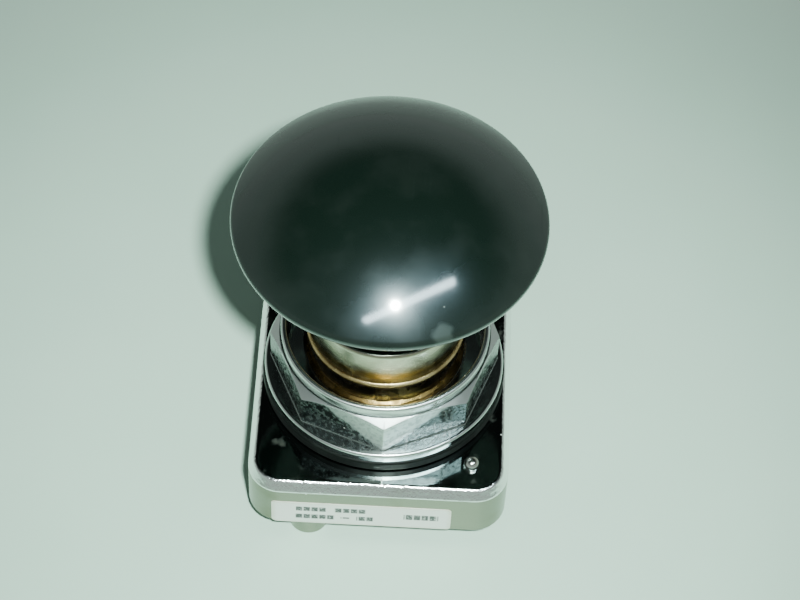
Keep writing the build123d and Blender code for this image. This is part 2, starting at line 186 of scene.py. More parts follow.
class Nodes:
    """A node tree, with one method that makes and links any node."""

    def __init__(self, tree, shader):
        self.tree = tree
        self.shader = tree.nodes[shader]

    def node(self, kind, settings, sockets, output=0):
        made = self.tree.nodes.new(kind)
        for name, value in settings.items():
            setattr(made, name, value)
        for key, value in sockets.items():
            self.plug(made.inputs[key], value)
        return Signal(self, made.outputs[output])

    def plug(self, socket, value):
        if isinstance(value, Signal):
            self.tree.links.new(value.socket, socket)
        elif socket.type == "RGBA":
            socket.default_value = (*value, 1)
        else:
            socket.default_value = value

    def set(self, **values):
        """Sets the shader's own sockets; an underscore in a name stands for a space."""
        for name, value in values.items():
            self.plug(self.shader.inputs[name.replace("_", " ")], value)

    def part(self, vector, name):
        """One coordinate of a vector."""
        return self.node("ShaderNodeSeparateXYZ", {}, {0: vector}, name)

    def fade(self, signal, start, end):
        """0 before start, 1 after end, and smooth between."""
        settings = {"interpolation_type": "SMOOTHSTEP"}
        return self.node(
            "ShaderNodeMapRange", settings, {"Value": signal, "From Min": start, "From Max": end}
        )

    def mix(self, amount, before, after):
        """Blend of two colours."""
        return self.node("ShaderNodeMix", {"data_type": "RGBA"}, {0: amount, 6: before, 7: after}, 2)


class Finish(Nodes):
    """A material: constants sit on the shader's sockets, and signals are linked to them."""

    def __init__(self, name, **constants):
        self.material = bpy.data.materials.new(name)
        self.material.use_nodes = True
        super().__init__(self.material.node_tree, "Principled BSDF")
        self.set(**constants)

    def place(self, stretch=(1, 1, 1)):
        """Position on the piece, with 1 for each millimetre, squeezed by stretch."""
        spot = self.node("ShaderNodeTexCoord", {}, {}, "Object")
        scale = [1000 / s for s in stretch]
        return self.node("ShaderNodeVectorMath", {"operation": "MULTIPLY"}, {0: spot, 1: scale})

    def axis(self, name):
        """One coordinate of the position, in millimetres."""
        return self.part(self.place(), name)

    def upright(self):
        """How far the surface faces up: 1 on a level top, 0 on a wall, -1 underneath."""
        return self.part(self.node("ShaderNodeNewGeometry", {}, {}, "Normal"), "Z")

    def noise(self, size, detail=2.0, stretch=(1, 1, 1)):
        """Soft noise from 0 to 1 whose blots are about size millimetres across."""
        sockets = {"Vector": self.place(stretch), "Scale": 1 / size, "Detail": detail}
        return self.node("ShaderNodeTexNoise", {}, sockets)

    def specks(self, spacing, radius, share):
        """Small round spots in a share of the cells of a grid, all in millimetres."""
        sockets = {"Vector": self.place(), "Scale": 1 / spacing}
        cells = self.node("ShaderNodeTexVoronoi", {}, sockets)
        draw = self.node("ShaderNodeSeparateColor", {}, {0: cells.output("Color")})
        size = radius / spacing
        return self.fade(cells, size, size * 0.6) * self.fade(draw, 1 - share, 1.02 - share)

    def blot(self, centre, size, ragged):
        """Soft mark round a point, in millimetres, with an edge roughened by noise."""
        ends = {0: self.place(), 1: centre}
        away = self.node("ShaderNodeVectorMath", {"operation": "DISTANCE"}, ends, 1)
        return self.fade(away + ragged * size * (self.noise(size * 0.7, 3) - 0.5), size, size * 0.45)

    def relief(self, height, depth):
        """Bumps whose height signal of 1 stands depth millimetres out."""
        self.set(Normal=self.node("ShaderNodeBump", {}, {"Height": height, "Distance": depth * MM}))


def seat(piece, finish, node, body):
    """Paints the piece and lets it stand for its CAD node."""
    piece.data.materials.clear()
    piece.data.materials.append(finish.material)
    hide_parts(node)
    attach(piece, body)


low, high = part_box("base_casting")
width, depth = high.x - low.x, high.y - low.y
base_top = high.z
post_length = 4.2 * MM
corner = 6.4 * MM
bevel_inset = 1.2 * MM
bevel_height = 2.3 * MM
wall = 3.0 * MM
roof = 3.0 * MM
neck_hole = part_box("neck_collar")[1].x + 0.03 * MM


def square_loop(inset, height):
    """Rounded rectangle that stands inside the casting's outline by inset."""
    x, y = width / 2 - inset, depth / 2 - inset
    round_off = max(corner - inset, 2.0 * MM)
    corners = [(x, -y, round_off), (x, y, round_off), (-x, y, round_off), (-x, -y, round_off)]
    return [Vector((*point, height)) for point in rounded_outline(corners, 8, 14)]


section = rounded_outline(
    [
        (wall + 1 * MM, base_top - roof, 0),
        (wall, base_top - roof, 0.8 * MM),
        (wall, post_length, 0.3 * MM),
        (0, post_length, 0.4 * MM),
        (0, base_top - bevel_height, 1.2 * MM),
        (bevel_inset, base_top, 0.9 * MM),
        (bevel_inset + 1 * MM, base_top, 0),
    ]
)
skin = [square_loop(inset, height) for inset, height in section]
hole_angles = [atan2(point.y, point.x) for point in skin[0]]
skin.append(circle(neck_hole, base_top, hole_angles))
skin.append(circle(neck_hole, base_top - roof, hole_angles))
casting = loft("casting", skin, ring=True)

post_radius, post_edge = 3.8 * MM, 0.35 * MM
post_x = 13.0 * MM
post_gap = 0.1 * MM
post_y = depth / 2 - post_gap - post_radius
peg_radius, peg_edge = 2.6 * MM, 0.5 * MM
flange_gap = 2.4 * MM
peg_y = sqrt((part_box("threaded_neck")[1].x + flange_gap + peg_radius) ** 2 - post_x**2)
screw_hole = 1.65 * MM
screw_mouth = screw_hole * 1.6
screw_depth = 9.0 * MM
buried = 0.5 * MM


def stud(name, radius, x, y, height, edge):
    """Upright round stud whose lower edge is rounded."""
    outline = rounded_outline([(0, 0, 0), (radius, 0, edge), (radius, height, 0), (0, height, 0)], 5)
    return turned(name, outline, x, y, 64)


added, removed = [], []
for side in (-1, 1):
    stud_top = base_top - roof + buried
    added.append(stud(f"post{side}", post_radius, side * post_x, side * post_y, stud_top, post_edge))
    added.append(stud(f"peg{side}", peg_radius, side * post_x, -side * peg_y, stud_top, peg_edge))
    drill = [(0, -1 * MM), (screw_mouth, -1 * MM), (screw_mouth, 0), (screw_hole, 0.6 * MM)]
    drill += [(screw_hole, screw_depth), (0, screw_depth + 0.8 * MM)]
    removed.append(turned(f"drill{side}", drill, side * post_x, side * post_y, 48))
carve(casting, added, "UNION")
carve(casting, removed)

base_plating = Finish("base_plating")
upright = base_plating.upright()
walls = base_plating.fade(upright, 0.32, 0.12)
edges = base_plating.fade(upright, 0.985, 0.93) * base_plating.fade(upright, 0.42, 0.55)
low_edges = base_plating.fade(upright, 0.02, 0.10) * base_plating.fade(upright, 0.42, 0.34)
cloud = base_plating.noise(6, 4)
tarnish = base_plating.fade(base_plating.noise(9, 5), 0.50, 0.72)
grime = base_plating.fade(base_plating.noise(4, 6), 0.62, 0.74) * base_plating.fade(upright, 0.9, 0.99)
holes = base_plating.specks(1.6, 0.14, 0.14)
dust = base_plating.specks(2.6, 0.17, 0.16)
# painted shade: the level top is painted near black, standing in for the dark room it mirrors
top_painted_shade = base_plating.fade(upright, 0.93, 0.99)
tone = base_plating.mix(tarnish, (0.95, 0.97, 0.95), (0.84, 0.86, 0.80))
tone = base_plating.mix(top_painted_shade, tone, (0.17, 0.20, 0.19))
# painted shade: the walls are painted darker than the bevel, with their tarnish kept
tone = base_plating.mix(walls, tone, base_plating.mix(tarnish, (0.25, 0.255, 0.20), (0.21, 0.21, 0.15)))
tone = base_plating.mix(grime * 0.6, tone, (0.10, 0.11, 0.07))
base_plating.set(Base_Color=base_plating.mix(dust, tone, (0.66, 0.70, 0.66)))
base_plating.set(Metallic=(1 - dust) * (1 - 0.3 * grime))
gloss_loss = 0.08 * cloud * cloud + 0.16 * walls + 0.10 * grime + 0.3 * dust + 0.14 * edges
base_plating.set(Roughness=0.05 + gloss_loss)
ripple = 0.4 * base_plating.noise(3.0, 2) + 0.05 * base_plating.noise(0.25, 1)
base_plating.relief(ripple - holes + 9 * (edges + low_edges) * base_plating.noise(0.9, 2), 0.02)
seat(casting, base_plating, "base_casting", "operator")

# ---- Label ---------------------------------------------------------------------------------------
# A white vinyl sticker pressed on the casting's front, with its left end bent round the corner. Its
# print is only plain dark bars, a little worn, and its edges have yellowed.

low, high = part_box("rating_label")
label_corner = 0.8 * MM
film_edge = 0.04 * MM
sticker = []
for inset, y in ((0, high.y), (0, low.y + film_edge), (film_edge, low.y)):
    sides = (low.x + inset, high.x - inset, low.z + inset, high.z - inset)
    corners = [(sides[0], sides[2]), (sides[1], sides[2]), (sides[1], sides[3]), (sides[0], sides[3])]
    outline = rounded_outline([(*point, label_corner - inset) for point in corners])
    sticker.append([Vector((x, y, z)) for x, z in outline])
label = loft("label", sticker)
flat_end = width / 2 - corner
fold_count, fold_step = 9, 0.3 * MM
film = bmesh.new()
film.from_mesh(label.data)
for side in (-1, 1):
    for step in range(fold_count):
        fold = Vector((side * (flat_end + step * fold_step), 0, 0))
        whole = film.verts[:] + film.edges[:] + film.faces[:]
        bmesh.ops.bisect_plane(film, geom=whole, plane_co=fold, plane_no=(1, 0, 0), dist=1e-7)
for point in film.verts:
    beyond = max(0.0, abs(point.co.x) - flat_end)
    point.co.y += corner - sqrt(corner**2 - beyond**2)
film.to_mesh(label.data)
film.free()

vinyl = Finish("label_vinyl", Coat_Weight=0.25, Coat_Roughness=0.25)
across, along = vinyl.axis("X"), vinyl.axis("Z")
label_left, label_foot = low.x / MM, low.z / MM
# each bar: start and end from the label's left edge, height of its middle, half its thickness
bars = [(4.7, 10.4, 4.9, 0.72), (12.0, 18.0, 4.9, 0.72), (4.5, 12.0, 2.3, 0.72)]
bars += [(13.2, 14.9, 2.3, 0.25), (16.2, 19.4, 2.3, 0.72), (25.2, 31.8, 3.7, 0.85)]
ink = 0
for start, end, middle, half in bars:
    inside = abs(across - (label_left + (start + end) / 2))
    level = abs(along - (label_foot + middle))
    bar = vinyl.fade(inside, (end - start) / 2 + 0.08, (end - start) / 2 - 0.08)
    ink = ink + bar * vinyl.fade(level, half + 0.08, half - 0.08)
gaps = vinyl.fade(abs((across - label_left) % 1.5 - 0.75), 0.52, 0.66)
ink = ink * (1 - 0.75 * gaps) * (1 - 0.6 * vinyl.fade(vinyl.noise(0.5, 3), 0.5, 0.75))
centre_x, half_width = (low.x + high.x) / 2 / MM, (high.x - low.x) / 2 / MM
centre_z, half_height = (low.z + high.z) / 2 / MM, (high.z - low.z) / 2 / MM
rim = vinyl.fade(abs(across - centre_x), half_width - 1.2, half_width)
rim = rim + vinyl.fade(abs(along - centre_z), half_height - 0.8, half_height)
paper = vinyl.mix(rim * vinyl.noise(1.5, 3), (0.74, 0.78, 0.74), (0.60, 0.60, 0.48))
vinyl.set(Base_Color=vinyl.mix(ink, paper, (0.035, 0.045, 0.042)))
vinyl.set(Roughness=0.38 + 0.2 * vinyl.noise(3, 3))
vinyl.relief(vinyl.noise(0.3, 2) + 2 * vinyl.noise(6, 1), 0.012)
seat(label, vinyl, "rating_label", "operator")

# ---- Locating pin --------------------------------------------------------------------------------
# A bright steel pin with a ball head, pressed into the casting's top near one front corner. It
# stops the button turning in the panel.

low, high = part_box("locating_pin")
pin_x, pin_y = (low.x + high.x) / 2, (low.y + high.y) / 2
pin_head = (high.x - low.x) / 2
pin_shank = 1.2 * MM
ball_steps = 12
ball_centre = high.z - pin_head
pin_outline = [(0, low.z), (pin_shank, low.z), (pin_shank, base_top), (pin_head * 0.94, base_top)]
pin_outline += [(pin_head, base_top + 0.12 * MM)]
for step in range(ball_steps + 1):
    angle = pi / 2 * step / ball_steps
    pin_outline.append((pin_head * cos(angle), ball_centre + pin_head * sin(angle)))
pin_outline[-1] = (0, high.z)
pin = turned("ball_pin", pin_outline, pin_x, pin_y, 48)
pin_steel = Finish("pin_steel")
cloud = pin_steel.noise(7, 4)
tarnish = pin_steel.fade(pin_steel.noise(11, 5), 0.52, 0.74)
holes = pin_steel.specks(1.3, 0.13, 0.3)
dust = pin_steel.specks(2.1, 0.16, 0.16)
tone = pin_steel.mix(tarnish, (0.70, 0.70, 0.66), (0.5, 0.46, 0.34))
pin_steel.set(Base_Color=pin_steel.mix(dust, tone, (0.72, 0.74, 0.70)), Metallic=1 - dust)
pin_steel.set(Roughness=0.12 + 0.2 * cloud * cloud + 0.3 * holes + 0.3 * dust)
pin_steel.relief(pin_steel.noise(2.4, 2) * 0.5 + pin_steel.noise(0.22, 1) * 0.06 - holes, 0.02)
seat(pin, pin_steel, "locating_pin", "operator")

# ---- Neck and its key ----------------------------------------------------------------------------
# A turned brass tube whose flange pulls up under the casting's roof. It carries a single-start thread
# for the nut, then a plain relief painted dark as painted shade, a rounded shoulder painted bright as a
# painted highlight and a spigot for the collar. A steel pin keys it.

low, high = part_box("threaded_neck")
neck_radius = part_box("neck_collar")[1].x
thread_depth = 0.7 * MM
pitch = 1.5 * MM
thread_foot = base_top + 1.0 * MM
thread_top = 27.8 * MM
root = neck_radius - thread_depth
flange_radius = high.x
flange_low, flange_top = base_top - roof - 2.2 * MM, base_top - roof
collar_bore = neck_radius - 1.75 * MM
spigot = collar_bore - 0.05 * MM
spigot_edge = 0.2 * MM
bush_seat = spigot - 1.4 * MM
pocket = bush_seat - 1.0 * MM
bush_seat_height = 30.0 * MM
pocket_floor = low.z + 2.2 * MM
bush_hole = 7.0 * MM
collar_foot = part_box("neck_collar")[0].z
neck_steps = 180
neck_angles = [2 * pi * k / neck_steps for k in range(neck_steps)]


def thread_loop(height):
    """One level of the helical thread, which fades in at its foot and out at its top."""
    run_in = min(1.0, (height - thread_foot) / pitch)
    run_out = min(1.0, (thread_top - height) / (0.3 * MM))
    loop = []
    for angle in neck_angles:
        phase = (height / pitch - angle / (2 * pi)) % 1.0
        groove = min(1.0, max(0.0, 1.25 - abs(2 * phase - 1) * 1.5))
        radius = neck_radius - thread_depth * groove * run_in
        radius = root + (radius - root) * run_out
        loop.append(Vector((radius * cos(angle), radius * sin(angle), height)))
    return loop


neck_loops = [
    circle(radius, height, neck_angles)
    for radius, height in (
        (bush_hole, low.z),
        (pocket + 2.2 * MM, low.z),
        (pocket + 2.2 * MM, flange_low),
        (flange_radius - 0.3 * MM, flange_low),
        (flange_radius, flange_low + 0.3 * MM),
        (flange_radius, flange_top),
        (neck_radius, flange_top),
    )
]
thread_rows = 120
for row in range(thread_rows + 1):
    neck_loops.append(thread_loop(thread_foot + (thread_top - thread_foot) * row / thread_rows))
shoulder = neck_radius - 0.5 * MM
# the shoulder's curve: how far in from the thread's crest, and how far below the collar
shoulder_curve = ((0.25, 2.9), (0.05, 2.6), (0.03, 2.3), (0.12, 2.0), (0.30, 1.75))
upper_outline = [(root, collar_foot - 3.1 * MM)]
upper_outline += [(neck_radius - inward * MM, collar_foot - drop * MM) for inward, drop in shoulder_curve]
upper_outline += [
    (shoulder, collar_foot - 1.6 * MM),
    (shoulder, collar_foot),
    (spigot, collar_foot),
    (spigot, high.z - spigot_edge),
    (spigot - spigot_edge, high.z),
    (bush_seat, high.z),
    (bush_seat, bush_seat_height),
    (pocket, bush_seat_height),
    (pocket, pocket_floor),
    (bush_hole, pocket_floor),
]
neck_loops += [circle(radius, height, neck_angles) for radius, height in upper_outline]
neck = loft("neck_tube", neck_loops, ring=True)

brass = Finish("neck_brass", Metallic=1.0)
stain = brass.fade(brass.noise(4, 5), 0.42, 0.66)
# painted highlight: the shoulder band just under the collar is painted light brass
shoulder_highlight = brass.fade(brass.axis("Z"), collar_foot / MM - 2.4, collar_foot / MM - 1.9)
tone = brass.mix(stain, (0.30, 0.20, 0.07), (0.07, 0.045, 0.016))
# painted shade: the relief and the top of the thread, in the recess under the collar, are painted near
# black
relief_shade = brass.fade(brass.axis("Z"), collar_foot / MM - 6.3, collar_foot / MM - 5.7)
tone = brass.mix(relief_shade, tone, (0.035, 0.024, 0.009))
tone = brass.mix(shoulder_highlight, tone, brass.mix(stain, (0.78, 0.62, 0.32), (0.45, 0.33, 0.15)))
brass.set(Base_Color=tone)
brass.set(Roughness=0.14 + 0.08 * shoulder_highlight + 0.2 * stain * (1 - shoulder_highlight) + 0.08 * brass.noise(0.6, 2))
brass.relief(brass.noise(1.0, 3, (30, 30, 0.12)) + 0.5 * brass.noise(0.2, 2), 0.015)
seat(neck, brass, "threaded_neck", "operator")


def dress(node, finish):
    """Paints a CAD node that keeps its own shape."""
    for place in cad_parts[node].material_slots:
        place.material = finish.material


def turned_metal(name, colour, roughness):
    """Lathe-turned metal with fine rings and faint stains."""
    finish = Finish(name, Metallic=1.0)
    rings = finish.noise(1.0, 3, (40, 40, 0.1))
    stain = finish.fade(finish.noise(3, 4), 0.45, 0.75)
    dull = tuple(part * 0.6 for part in colour)
    finish.set(Base_Color=finish.mix(stain, colour, dull))
    finish.set(Roughness=roughness + 0.12 * rings + 0.15 * stain)
    finish.relief(rings, 0.008)
    return finish


plain_steel = turned_metal("plain_steel", (0.50, 0.50, 0.48), 0.28)
dress("neck_key", plain_steel)

# ---- Lower bush, spring seat, spring and stem ------------------------------------------------------
# A flanged nylon bush in the neck's floor and a bronze one at its top guide a ground steel stem. The
# return spring stands on a washer and pushes a cup up against a snap ring in the stem's groove.

low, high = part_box("lower_bush")
guide_bore = 5.05 * MM
bush_outline = rounded_outline(
    [
        (guide_bore, low.z, 0.25 * MM),
        (bush_hole - 0.03 * MM, low.z, 0.5 * MM),
        (bush_hole - 0.03 * MM, pocket_floor, 0),
        (high.x, pocket_floor, 0),
        (high.x, high.z, 0.2 * MM),
        (guide_bore, high.z, 0.2 * MM),
    ]
)
nylon_bush = turned("nylon_bush", bush_outline, steps=96)
nylon = Finish("bush_nylon", Subsurface_Weight=0.15, Subsurface_Radius=(0.002, 0.002, 0.001))
nylon.set(Base_Color=nylon.mix(nylon.noise(5, 4), (0.72, 0.70, 0.60), (0.58, 0.54, 0.42)))
nylon.set(Roughness=0.42 + 0.15 * nylon.noise(1, 3))
nylon.relief(nylon.noise(0.8, 3, (20, 20, 0.3)), 0.01)
seat(nylon_bush, nylon, "lower_bush", "operator")

bronze = Finish("bush_bronze", Metallic=1.0)
pores = bronze.specks(0.5, 0.1, 0.5)
bronze.set(Base_Color=bronze.mix(pores, (0.45, 0.30, 0.15), (0.10, 0.07, 0.04)))
bronze.set(Roughness=0.35 + 0.3 * pores)
bronze.relief(1 - pores, 0.02)
dress("upper_bush", bronze)

spring_steel = turned_metal("spring_steel", (0.30, 0.30, 0.31), 0.30)
low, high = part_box("return_spring")
wire = 0.55 * MM
coil_radius = high.x - wire
coil_turns, coil_steps, wire_sides = 4, 36, 12
coil_rise = high.z - low.z - 2 * wire
coil_loops = []
for step in range(coil_turns * coil_steps + 1):
    angle = 2 * pi * step / coil_steps
    out = Vector((cos(angle), sin(angle), 0))
    climb = coil_rise * angle / (2 * pi * coil_turns)
    centre = coil_radius * out + Vector((0, 0, low.z + wire + climb))
    around = [2 * pi * k / wire_sides for k in range(wire_sides)]
    coil_loops.append([centre + wire * (cos(a) * out + Vector((0, 0, sin(a)))) for a in around])
coil = loft("coil_spring", coil_loops)
coil.data.materials.append(spring_steel.material)
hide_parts("return_spring")
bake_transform(coil)
dress("retaining_ring", spring_steel)
dress("spring_seat", plain_steel)
dress("spring_cup", plain_steel)

low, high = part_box("plunger_stem")
stem_radius = high.x
hub_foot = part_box("mushroom_head")[0].z
ring_gap = 0.02 * MM
ring_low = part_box("retaining_ring")[0].z - ring_gap
ring_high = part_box("retaining_ring")[1].z + ring_gap
groove = stem_radius - 0.7 * MM
stem_thread = stem_radius - 1.0 * MM
tapping = 2.05 * MM
stem_outline = rounded_outline(
    [
        (0, low.z + 6.8 * MM, 0),
        (tapping, low.z + 6.8 * MM, 0),
        (tapping, low.z, 0.2 * MM),
        (stem_radius, low.z, 0.4 * MM),
        (stem_radius, ring_low, 0),
        (groove, ring_low, 0.1 * MM),
        (groove, ring_high, 0.1 * MM),
        (stem_radius, ring_high, 0),
        (stem_radius, hub_foot, 0.15 * MM),
        (stem_thread, hub_foot, 0),
        (stem_thread, high.z, 0.5 * MM),
        (0, high.z, 0),
    ]
)
stem = turned("stem_rod", stem_outline, steps=96)
stem_steel = turned_metal("stem_steel", (0.62, 0.62, 0.60), 0.14)
seat(stem, stem_steel, "plunger_stem", "plunger")

# ---- Seals and bumper ------------------------------------------------------------------------------
# Black moulded rubber: an O-ring in the bronze bush, a bumper ring on the spring cup, and a wiper disc
# under the collar whose lip runs on the stem.

low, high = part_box("wiper_seal")
wiper_plug = bush_seat - 0.03 * MM
wiper_flange = high.x
wiper_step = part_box("threaded_neck")[1].z
wiper_face = wiper_step + 0.9 * MM
wiper_lip = guide_bore + 1.2 * MM
wiper_outline = rounded_outline(
    [
        (guide_bore, low.z, 0.2 * MM),
        (wiper_plug, low.z, 0.2 * MM),
        (wiper_plug, wiper_step, 0),
        (wiper_flange, wiper_step, 0.1 * MM),
        (wiper_flange, wiper_face, 0.2 * MM),
        (wiper_lip + 1.2 * MM, wiper_face, 0.5 * MM),
        (wiper_lip, high.z - 0.2 * MM, 0.25 * MM),
        (guide_bore, high.z, 0.1 * MM),
    ]
)
wiper = turned("wiper_disc", wiper_outline, steps=128)


def moulded_rubber(name, colour, sheen):
    """Black rubber with a fine grain, a grey bloom and some dust."""
    finish = Finish(name, Sheen_Weight=sheen, Sheen_Roughness=0.5, Specular_IOR_Level=0.1)
    bloom = finish.fade(finish.noise(3, 5), 0.45, 0.75)
    dust = finish.specks(1.8, 0.12, 0.2)
    tone = finish.mix(bloom, colour, tuple(part * 2.2 for part in colour))
    finish.set(Base_Color=finish.mix(dust, tone, (0.35, 0.37, 0.34)))
    finish.set(Roughness=0.42 + 0.2 * bloom)
    finish.relief(finish.noise(0.15, 2) + 2 * finish.noise(1.2, 2), 0.02)
    return finish


seal_rubber = moulded_rubber("seal_rubber", (0.012, 0.013, 0.012), 0.05)
seat(wiper, seal_rubber, "wiper_seal", "operator")
dress("stem_seal", seal_rubber)
dress("bumper_ring", seal_rubber)

# ---- Collar ----------------------------------------------------------------------------------------
# A satin nickel ring screwed round the neck's top. Its top edge is rolled over, its lip holds the wiper
# down, and its colour turns golden-brown towards its foot.

low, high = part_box("neck_collar")
lip_foot = wiper_face + 0.05 * MM
opening = neck_radius - 3.4 * MM
collar_outline = rounded_outline(
    [
        (collar_bore, low.z, 0.15 * MM),
        (neck_radius - 0.35 * MM, low.z, 0.1 * MM),
        (neck_radius - 0.45 * MM, high.z, 0.9 * MM),
        (opening, high.z, 0.35 * MM),
        (opening, lip_foot, 0.1 * MM),
        (collar_bore, lip_foot, 0.1 * MM),
    ],
    8,
)
collar = turned("collar_ring", collar_outline, steps=192)
nickel = Finish("collar_nickel", Metallic=1.0)
rings = nickel.noise(1.0, 3, (60, 60, 0.14))
haze = nickel.fade(nickel.noise(3.5, 5), 0.4, 0.75)
# the colour turns golden-brown towards the foot
golden_foot = nickel.fade(nickel.axis("Z") + 0.5 * haze, low.z / MM + 2.3, low.z / MM + 1.2)
tone = nickel.mix(haze, (0.50, 0.47, 0.36), (0.43, 0.40, 0.29))
tone = nickel.mix(golden_foot, tone, (0.55, 0.40, 0.16))
# painted reflection: the flat top land is painted near black, standing in for the black head mirrored in
# it
land_dark_reflection = nickel.fade(nickel.axis("Z"), high.z / MM - 0.35, high.z / MM - 0.1)
nickel.set(Base_Color=nickel.mix(land_dark_reflection, tone, (0.09, 0.10, 0.075)))
nickel.set(Roughness=0.14 + 0.12 * haze + 0.06 * rings)
nickel.relief(rings + 0.4 * nickel.noise(0.2, 2), 0.012)
seat(collar, nickel, "neck_collar", "operator")

# ---- Panel gasket ----------------------------------------------------------------------------------
# A thick black rubber washer with rounded edges, squeezed between the casting and the nut.

low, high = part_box("panel_gasket")
gasket_outline = rounded_outline(
    [
        (neck_hole, low.z, 0.2 * MM),
        (high.x, low.z, 0.55 * MM),
        (high.x, high.z, 0.55 * MM),
        (neck_hole, high.z, 0.2 * MM),
    ]
)
gasket = turned("gasket_washer", gasket_outline, steps=192)
gasket_rubber = moulded_rubber("gasket_rubber", (0.0035, 0.005, 0.0042), 0.01)
seat(gasket, gasket_rubber, "panel_gasket", "operator")

# ---- Octagonal nut ---------------------------------------------------------------------------------
# A plated nut on a thin round flange. Its eight flats are left from the casting mould, so they are
# pitted; they are also painted dark as a painted reflection, and lighter in a V at the front corner as a
# painted reflection with some wear. The corners are turned down to a cone, and a round lip stands up
# inside them.

low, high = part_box("octagonal_nut")
nut_flange = high.x
flat_radius = 20.2 * MM
sides = 8
nut_turn = radians(2)
corner_radius = flat_radius / cos(pi / sides)
circle_height = low.z + 10.5 * MM
cone_slope = tan(radians(40))
flange_top = low.z + 2.0 * MM
lip_outer = flat_radius - 0.35 * MM
lip_inner = lip_outer - 1.15 * MM
recess_floor = high.z - 5.9 * MM
nut_bore = neck_radius + 0.05 * MM
edge_round = 0.14 * MM
corner_angles = [-pi / 2 + nut_turn + 2 * pi * k / sides for k in range(sides)]
octagon = rounded_outline(
    [(corner_radius * cos(a), corner_radius * sin(a), 0.5 * MM) for a in corner_angles], 4, 18
)
nut_angles = [atan2(point.y, point.x) for point in octagon]


def octagon_loop(grow, height=None, drop=0.0):
    """The octagon grown outwards, level, or following the cone when no height is given."""
    loop = []
    for point in octagon:
        spot = point * (1 + grow / point.length)
        level = circle_height - (point.length + grow - flat_radius) * cone_slope - drop
        loop.append(Vector((*spot, height if height is not None else level)))
    return loop


nut_loops = [circle(nut_bore + 0.3 * MM, low.z, nut_angles)]
for radius, height in ((nut_flange - 0.15 * MM, low.z), (nut_flange, low.z + 0.15 * MM)):
    nut_loops.append(circle(radius, height, nut_angles))
flange_round = 0.7 * MM
for step in range(7):
    angle = pi / 2 * step / 6
    radius = nut_flange - flange_round + flange_round * cos(angle)
    nut_loops.append(circle(radius, flange_top - flange_round + flange_round * sin(angle), nut_angles))
nut_loops.append(octagon_loop(0.25 * MM, flange_top))
nut_loops.append(octagon_loop(0.07 * MM, flange_top + 0.07 * MM))
nut_loops.append(octagon_loop(0, flange_top + 0.25 * MM))
nut_loops.append(octagon_loop(0, None, edge_round))
nut_loops.append(octagon_loop(-0.03 * MM, None, 0.02 * MM))
nut_loops.append(octagon_loop(-edge_round))
cone_top = circle(flat_radius - 0.05 * MM, circle_height + 0.02 * MM, nut_angles)
nut_loops.append(cone_top)
lip_height = high.z
inner_outline = [(lip_outer + 0.12 * MM, circle_height - 0.12 * MM)]
inner_outline += [(lip_outer, circle_height - 0.3 * MM), (lip_outer, circle_height - 0.1 * MM)]
outer_round, inner_round = 0.6 * (lip_outer - lip_inner), 0.35 * (lip_outer - lip_inner)
for step in range(9):
    angle = pi / 2 * step / 8
    turn_x, turn_z = outer_round * cos(angle), outer_round * sin(angle)
    inner_outline.append((lip_outer - outer_round + turn_x, lip_height - outer_round + turn_z))
for step in range(6):
    angle = pi / 2 + pi / 2 * step / 5
    turn_x, turn_z = inner_round * cos(angle), inner_round * sin(angle)
    inner_outline.append((lip_inner + inner_round + turn_x, lip_height - inner_round + turn_z))
inner_outline.append((lip_inner, recess_floor + 0.4 * MM))
inner_outline.append((lip_inner - 0.4 * MM, recess_floor))
inner_outline.append((nut_bore + 0.3 * MM, recess_floor))
inner_outline.append((nut_bore, recess_floor - 0.3 * MM))
inner_outline.append((nut_bore, low.z + 0.3 * MM))
nut_loops += [circle(radius, height, nut_angles) for radius, height in inner_outline]
nut = loft("nut_body", nut_loops, ring=True, sharp=30)

chrome = Finish("nut_plating")
height_up = chrome.axis("Z")
flats = chrome.fade(height_up, (flange_top / MM) + 0.1, (flange_top / MM) + 0.5)
flats = flats * chrome.fade(height_up, circle_height / MM + 0.1, circle_height / MM - 0.6)
outward = chrome.node("ShaderNodeNewGeometry", {}, {}, "Normal")
upright = chrome.node("ShaderNodeSeparateXYZ", {}, {0: outward}, "Z")
flats = flats * chrome.fade(abs(upright), 0.35, 0.2)
lip = chrome.fade(height_up, circle_height / MM, circle_height / MM + 0.3)
cone = chrome.fade(upright, 0.66, 0.72) * chrome.fade(upright, 0.88, 0.82)
grit = chrome.fade(chrome.noise(0.8, 4), 0.48, 0.60)
holes = chrome.specks(0.9, 0.2, 0.5)
dust = chrome.specks(2.2, 0.15, 0.14)
cloud = chrome.noise(6, 4)
tone = chrome.mix(flats * grit, (0.60, 0.64, 0.62), (0.44, 0.48, 0.47))
# painted reflection: the pitted flats are painted dark, and a V at the front corner is painted lighter,
# partly wear
front_x = corner_radius * cos(corner_angles[0]) / MM
aside = abs(chrome.axis("X") - front_x) - 1.4 * (height_up - flange_top / MM)
front_reflection_and_wear = chrome.fade(aside + 3 * chrome.noise(1.5, 4), 2.8, 0.6) * chrome.fade(chrome.axis("Y"), -12, -14)
pits_and_dark_reflection = flats * (1 - front_reflection_and_wear)
tone = chrome.mix(pits_and_dark_reflection, tone, chrome.mix(grit, (0.07, 0.088, 0.084), (0.165, 0.185, 0.18)))
chrome.set(Base_Color=chrome.mix(dust, tone, (0.72, 0.74, 0.70)), Metallic=1 - dust)
flat_haze = 0.05 * pits_and_dark_reflection + 0.1 * flats * grit + 0.2 * flats * front_reflection_and_wear
chrome.set(Roughness=0.10 + 0.14 * cloud * cloud + flat_haze + 0.16 * cone + 0.08 * lip + 0.3 * dust)
chrome.relief(pits_and_dark_reflection * (0.9 * grit - 1.6 * holes) + 0.35 * chrome.noise(2.0, 2), 0.03)
seat(nut, chrome, "octagonal_nut", "operator")

# ---- Mushroom head, its insert and set screw -------------------------------------------------------
# A polished black moulding with a domed top, a rolled rim and a hollowed underside that sweeps into a
# round hub. A brass insert in the hub takes the stem's thread, and a set screw at the rear locks it.

